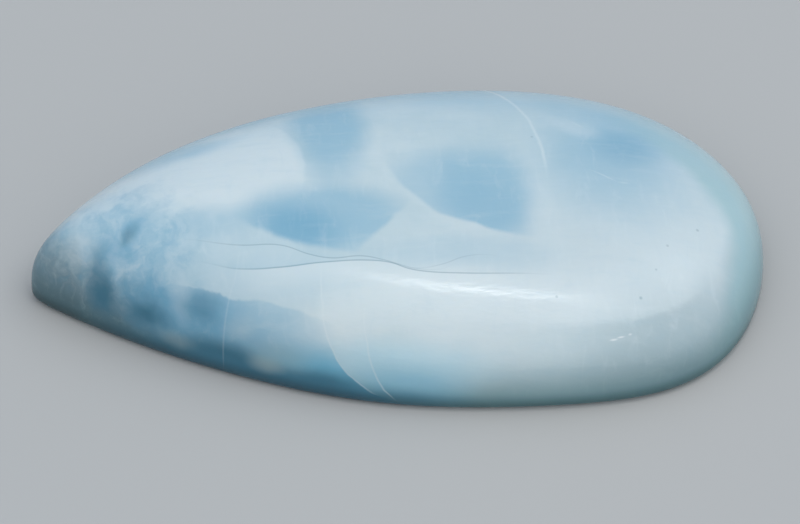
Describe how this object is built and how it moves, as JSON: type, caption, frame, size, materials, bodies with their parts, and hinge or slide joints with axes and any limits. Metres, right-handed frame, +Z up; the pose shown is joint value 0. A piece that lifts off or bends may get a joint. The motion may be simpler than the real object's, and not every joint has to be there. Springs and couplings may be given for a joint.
{
  "type": "polished larimar teardrop cabochon",
  "caption": "Polished teardrop cabochon of sky-blue larimar with a domed crown, rounded girdle and flat back, to be set, wired or displayed.",
  "frame": {"origin": "middle of the bounding box at the flat back, on the surface that the stone lies on", "axes": "+Z up from the flat back, X along the length with the narrow tip at -X and the round end at +X, Y across"},
  "size_m": [0.04, 0.0224, 0.0071],
  "materials": {
    "larimar": "hand-polished, glossy pectolite in milky sky blue with white cells and pale veins"
  },
  "bodies": {
    "root": {"stone": "larimar"}
  },
  "joints": []
}
